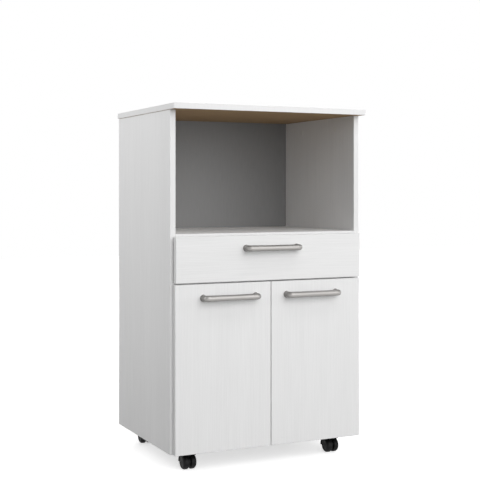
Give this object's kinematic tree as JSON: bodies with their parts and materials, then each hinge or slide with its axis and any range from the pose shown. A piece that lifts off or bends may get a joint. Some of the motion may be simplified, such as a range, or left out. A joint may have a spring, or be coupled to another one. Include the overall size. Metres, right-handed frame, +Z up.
{
  "type": "microwave cart",
  "caption": "Rolling kitchen cart in white laminated board: open microwave bay, roller-runner drawer, two-door cupboard with a shelf, bow handles and swivelling twin-wheel casters.",
  "frame": {"origin": "on the floor under the middle of the cart's bounding box", "axes": "+Z up, +Y from the doors towards the back, +X to the right as seen from the front"},
  "size_m": [0.606, 0.4864, 1.015],
  "materials": {
    "white_laminate": "white melamine laminate with an embossed wood grain, matt",
    "top_laminate": "white melamine laminate above and on the edges, plain brown underside",
    "back_hardboard": "hardboard, grey inside and brown outside",
    "drawer_hardboard": "white-painted hardboard",
    "dowel_beech": "plain fluted beech",
    "satin_nickel": "satin nickel plate",
    "zinc": "bright zinc plate",
    "white_epoxy": "white epoxy coat on rolled steel",
    "white_nylon": "moulded nylon",
    "cap_plastic": "white cap",
    "caster_black": "black moulded nylon, satin"
  },
  "bodies": {
    "carcass": {"side_panel_left": "white_laminate", "side_panel_right": "white_laminate", "top_panel": "top_laminate", "microwave_deck": "white_laminate", "drawer_divider": "white_laminate", "bottom_panel": "white_laminate", "back_panel": "back_hardboard", "cupboard_shelf": "white_laminate", "shelf_pins": "zinc", "cam_locks": "zinc", "cam_caps": "cap_plastic", "cam_bolts": "zinc", "dowels": "dowel_beech", "back_nails": "zinc", "cabinet_runner_left": "white_epoxy", "cabinet_runner_right": "white_epoxy", "hinge_plates": "satin_nickel", "hinge_arms": "satin_nickel", "fitting_screws": "zinc", "caster_plates": "zinc", "caster_screws": "zinc"},
    "drawer": {"drawer_front": "white_laminate", "drawer_side_left": "white_laminate", "drawer_side_right": "white_laminate", "drawer_back": "white_laminate", "drawer_bottom": "drawer_hardboard", "drawer_runner_left": "white_epoxy", "drawer_runner_right": "white_epoxy", "drawer_handle": "satin_nickel", "drawer_fasteners": "zinc"},
    "front_rollers": {"front_rollers": "white_nylon"},
    "rear_rollers": {"rear_rollers": "white_nylon"},
    "door_left": {"door_left": "white_laminate", "door_handle_left": "satin_nickel", "door_screws_left": "zinc", "hinge_cups_left": "satin_nickel", "hinge_outer_links_left": "satin_nickel", "hinge_inner_links_left": "satin_nickel"},
    "door_right": {"door_right": "white_laminate", "door_handle_right": "satin_nickel", "door_screws_right": "zinc", "hinge_cups_right": "satin_nickel", "hinge_outer_links_right": "satin_nickel", "hinge_inner_links_right": "satin_nickel"},
    "caster_front_left": {"caster_body_front_left": "caster_black", "caster_axle_front_left": "zinc"},
    "wheel_outer_front_left": {"wheel_outer_front_left": "caster_black"},
    "wheel_inner_front_left": {"wheel_inner_front_left": "caster_black"},
    "caster_front_right": {"caster_body_front_right": "caster_black", "caster_axle_front_right": "zinc"},
    "wheel_outer_front_right": {"wheel_outer_front_right": "caster_black"},
    "wheel_inner_front_right": {"wheel_inner_front_right": "caster_black"},
    "caster_back_left": {"caster_body_back_left": "caster_black", "caster_axle_back_left": "zinc"},
    "wheel_outer_back_left": {"wheel_outer_back_left": "caster_black"},
    "wheel_inner_back_left": {"wheel_inner_back_left": "caster_black"},
    "caster_back_right": {"caster_body_back_right": "caster_black", "caster_axle_back_right": "zinc"},
    "wheel_outer_back_right": {"wheel_outer_back_right": "caster_black"},
    "wheel_inner_back_right": {"wheel_inner_back_right": "caster_black"}
  },
  "joints": [
    {"name": "drawer_slide", "type": "slide", "parent": "carcass", "child": "drawer", "axis": [0, -1, 0], "range_m": [0, 0.28]},
    {"name": "front_roller_turn", "type": "hinge", "parent": "carcass", "child": "front_rollers", "pos_m": [0, -0.16975, 0.55145], "axis": [1, 0, 0], "continuous": true},
    {"name": "rear_roller_turn", "type": "hinge", "parent": "drawer", "child": "rear_rollers", "pos_m": [0, 0.14525, 0.54575], "axis": [1, 0, 0], "continuous": true},
    {"name": "left_door_hinge", "type": "hinge", "parent": "carcass", "child": "door_left", "pos_m": [-0.288, -0.19795, 0.2875], "axis": [0, 0, -1], "range_deg": [0, 105]},
    {"name": "right_door_hinge", "type": "hinge", "parent": "carcass", "child": "door_right", "pos_m": [0.288, -0.19795, 0.2875], "axis": [0, 0, 1], "range_deg": [0, 105]},
    {"name": "caster_swivel_front_left", "type": "hinge", "parent": "carcass", "child": "caster_front_left", "pos_m": [-0.229, -0.12975, 0.047], "axis": [0, 0, 1], "continuous": true},
    {"name": "wheel_turn_outer_front_left", "type": "hinge", "parent": "caster_front_left", "child": "wheel_outer_front_left", "pos_m": [-0.229, -0.14475, 0.021], "axis": [1, 0, 0], "continuous": true},
    {"name": "wheel_turn_inner_front_left", "type": "hinge", "parent": "caster_front_left", "child": "wheel_inner_front_left", "pos_m": [-0.229, -0.14475, 0.021], "axis": [1, 0, 0], "continuous": true},
    {"name": "caster_swivel_front_right", "type": "hinge", "parent": "carcass", "child": "caster_front_right", "pos_m": [0.229, -0.12975, 0.047], "axis": [0, 0, 1], "continuous": true},
    {"name": "wheel_turn_outer_front_right", "type": "hinge", "parent": "caster_front_right", "child": "wheel_outer_front_right", "pos_m": [0.229, -0.14475, 0.021], "axis": [1, 0, 0], "continuous": true},
    {"name": "wheel_turn_inner_front_right", "type": "hinge", "parent": "caster_front_right", "child": "wheel_inner_front_right", "pos_m": [0.229, -0.14475, 0.021], "axis": [1, 0, 0], "continuous": true},
    {"name": "caster_swivel_back_left", "type": "hinge", "parent": "carcass", "child": "caster_back_left", "pos_m": [-0.229, 0.18025, 0.047], "axis": [0, 0, 1], "continuous": true},
    {"name": "wheel_turn_outer_back_left", "type": "hinge", "parent": "caster_back_left", "child": "wheel_outer_back_left", "pos_m": [-0.229, 0.19525, 0.021], "axis": [1, 0, 0], "continuous": true},
    {"name": "wheel_turn_inner_back_left", "type": "hinge", "parent": "caster_back_left", "child": "wheel_inner_back_left", "pos_m": [-0.229, 0.19525, 0.021], "axis": [1, 0, 0], "continuous": true},
    {"name": "caster_swivel_back_right", "type": "hinge", "parent": "carcass", "child": "caster_back_right", "pos_m": [0.229, 0.18025, 0.047], "axis": [0, 0, 1], "continuous": true},
    {"name": "wheel_turn_outer_back_right", "type": "hinge", "parent": "caster_back_right", "child": "wheel_outer_back_right", "pos_m": [0.229, 0.19525, 0.021], "axis": [1, 0, 0], "continuous": true},
    {"name": "wheel_turn_inner_back_right", "type": "hinge", "parent": "caster_back_right", "child": "wheel_inner_back_right", "pos_m": [0.229, 0.19525, 0.021], "axis": [1, 0, 0], "continuous": true}
  ],
  "couplings": [
    {"joint": "front_roller_turn", "follows": "drawer_slide", "rad_per_m": 117.65},
    {"joint": "rear_roller_turn", "follows": "drawer_slide", "rad_per_m": 117.65}
  ]
}
